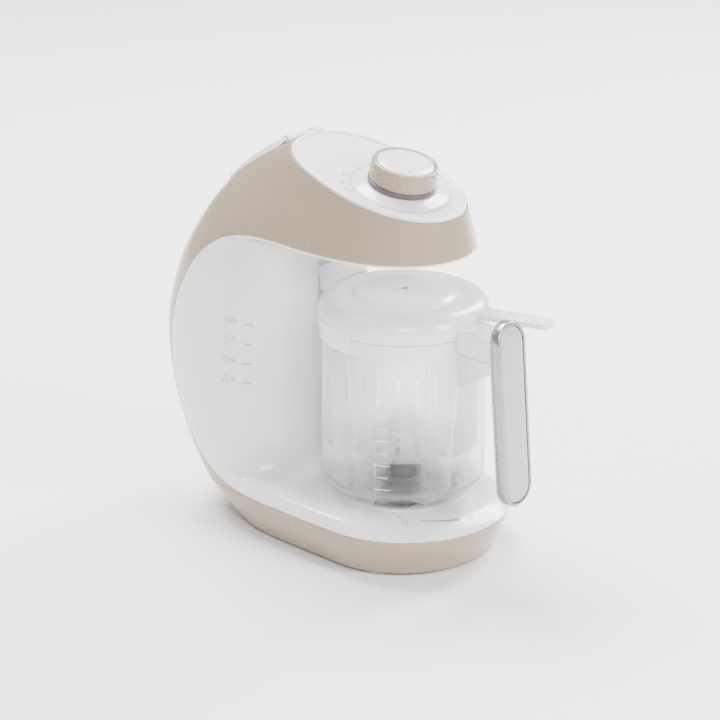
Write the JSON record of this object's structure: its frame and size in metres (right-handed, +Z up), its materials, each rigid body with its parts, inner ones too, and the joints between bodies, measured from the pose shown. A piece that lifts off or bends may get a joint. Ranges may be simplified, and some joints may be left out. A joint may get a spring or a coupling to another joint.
{
  "type": "baby food maker",
  "caption": "Countertop baby food maker with a C-shaped body, tilted timer-knob panel, hinged tank lid, and a clear steaming and blending jug with side handle.",
  "frame": {"origin": "on the table under the middle of the whole object's box", "axes": "+Z up, -Y towards the jug handle (front), +Y towards the round back, X across the body"},
  "size_m": [0.151, 0.3106, 0.2862],
  "materials": {
    "beige_gloss": "satin gloss beige",
    "white_gloss": "gloss white",
    "white_matt": "fine matt white",
    "dark_plastic": "matt dark grey",
    "knob_dark": "satin dark taupe",
    "silver": "satin silver paint",
    "insert_pink": "pearl off-white",
    "clear_plastic": "clear, polished",
    "bracket_tint": "tinted translucent",
    "steel": "brushed stainless",
    "bright_steel": "polished stainless",
    "grey_plastic": "satin grey",
    "rubber": "soft grey",
    "silicone": "translucent silicone",
    "belt_rubber": "toothed black rubber",
    "bronze": "sintered bronze",
    "aluminium": "cast",
    "board": "solder-resist green",
    "motor_metal": "laminated steel"
  },
  "bodies": {
    "housing": {"base_band": "beige_gloss", "base_plate": "grey_plastic", "rubber_feet": "rubber", "screws": "steel", "deck": "white_gloss", "jug_seat": "white_gloss", "side_panel_left": "white_gloss", "side_panel_right": "white_gloss", "column_front": "white_gloss", "steam_recess": "white_matt", "head_shell": "beige_gloss", "back_shell": "beige_gloss", "head_underside": "white_matt", "control_panel": "white_gloss", "panel_rim": "white_gloss", "knob_bezel": "white_gloss", "rotary_switch": "dark_plastic", "control_board": "board", "tank_hinge_pin": "steel", "water_tank": "clear_plastic", "tank_filler": "clear_plastic", "boiler": "steel", "heater_ring": "aluminium", "hoses": "silicone", "steam_nozzle": "dark_plastic", "motor": "motor_metal", "motor_bracket": "grey_plastic", "drive_belt": "belt_rubber", "spindle_bushes": "bronze", "bearing_housing": "grey_plastic", "interlock_switch": "dark_plastic", "cord_gland": "dark_plastic"},
    "knob": {"knob_ring": "knob_dark", "knob_grip": "beige_gloss", "knob_cap": "white_gloss", "knob_shaft": "steel"},
    "tank_lid": {"tank_lid": "white_gloss", "tank_lid_hinge": "white_gloss", "tank_lid_plug": "silicone"},
    "motor_rotor": {"motor_shaft": "steel", "motor_pulley": "dark_plastic"},
    "drive": {"drive_pulley": "dark_plastic", "drive_spindle": "steel", "drive_coupling": "dark_plastic"},
    "lock_ring": {"lock_ring": "white_matt"},
    "jug": {"jug_bowl": "clear_plastic", "jug_foot": "clear_plastic", "jug_collar": "white_gloss", "handle_bracket": "bracket_tint", "handle_body": "white_gloss", "handle_trim": "silver", "handle_insert": "insert_pink", "blade_bearing": "grey_plastic"},
    "blade": {"blade_hub": "dark_plastic", "blades": "bright_steel", "blade_shaft": "steel", "jug_coupling": "dark_plastic"},
    "basket": {"steam_basket": "clear_plastic"},
    "lid": {"jug_lid": "white_gloss", "lid_seal": "silicone"}
  },
  "joints": [
    {"name": "knob_turn", "type": "hinge", "parent": "housing", "child": "knob", "pos_m": [0, -0.04048, 0.26121], "axis": [0, -0.2351, 0.972], "range_deg": [-45, 225]},
    {"name": "tank_lid_open", "type": "hinge", "parent": "housing", "child": "tank_lid", "pos_m": [0, 0.05209, 0.2811], "axis": [1, 0, 0], "range_deg": [0, 85]},
    {"name": "motor_spin", "type": "hinge", "parent": "housing", "child": "motor_rotor", "pos_m": [0, 0.07134, 0.05], "axis": [0, 0, 1], "continuous": true},
    {"name": "drive_spin", "type": "hinge", "parent": "housing", "child": "drive", "pos_m": [0, -0.04466, 0.02], "axis": [0, 0, 1], "continuous": true},
    {"name": "jug_turn", "type": "hinge", "parent": "housing", "child": "lock_ring", "pos_m": [0, -0.04466, 0.036], "axis": [0, 0, 1], "range_deg": [-35, 0]},
    {"name": "jug_lift", "type": "slide", "parent": "lock_ring", "child": "jug", "axis": [0, 0, 1], "range_m": [0, 0.012]},
    {"name": "blade_spin", "type": "hinge", "parent": "jug", "child": "blade", "pos_m": [0, -0.04466, 0.06], "axis": [0, 0, 1], "continuous": true},
    {"name": "basket_lift", "type": "slide", "parent": "jug", "child": "basket", "axis": [0, 0, 1], "range_m": [0, 0.005]},
    {"name": "lid_lift", "type": "slide", "parent": "jug", "child": "lid", "axis": [0, 0, 1], "range_m": [0, 0.012]}
  ],
  "couplings": [
    {"joint": "drive_spin", "follows": "motor_spin", "ratio": 0.5},
    {"joint": "blade_spin", "follows": "motor_spin", "ratio": 0.5}
  ]
}
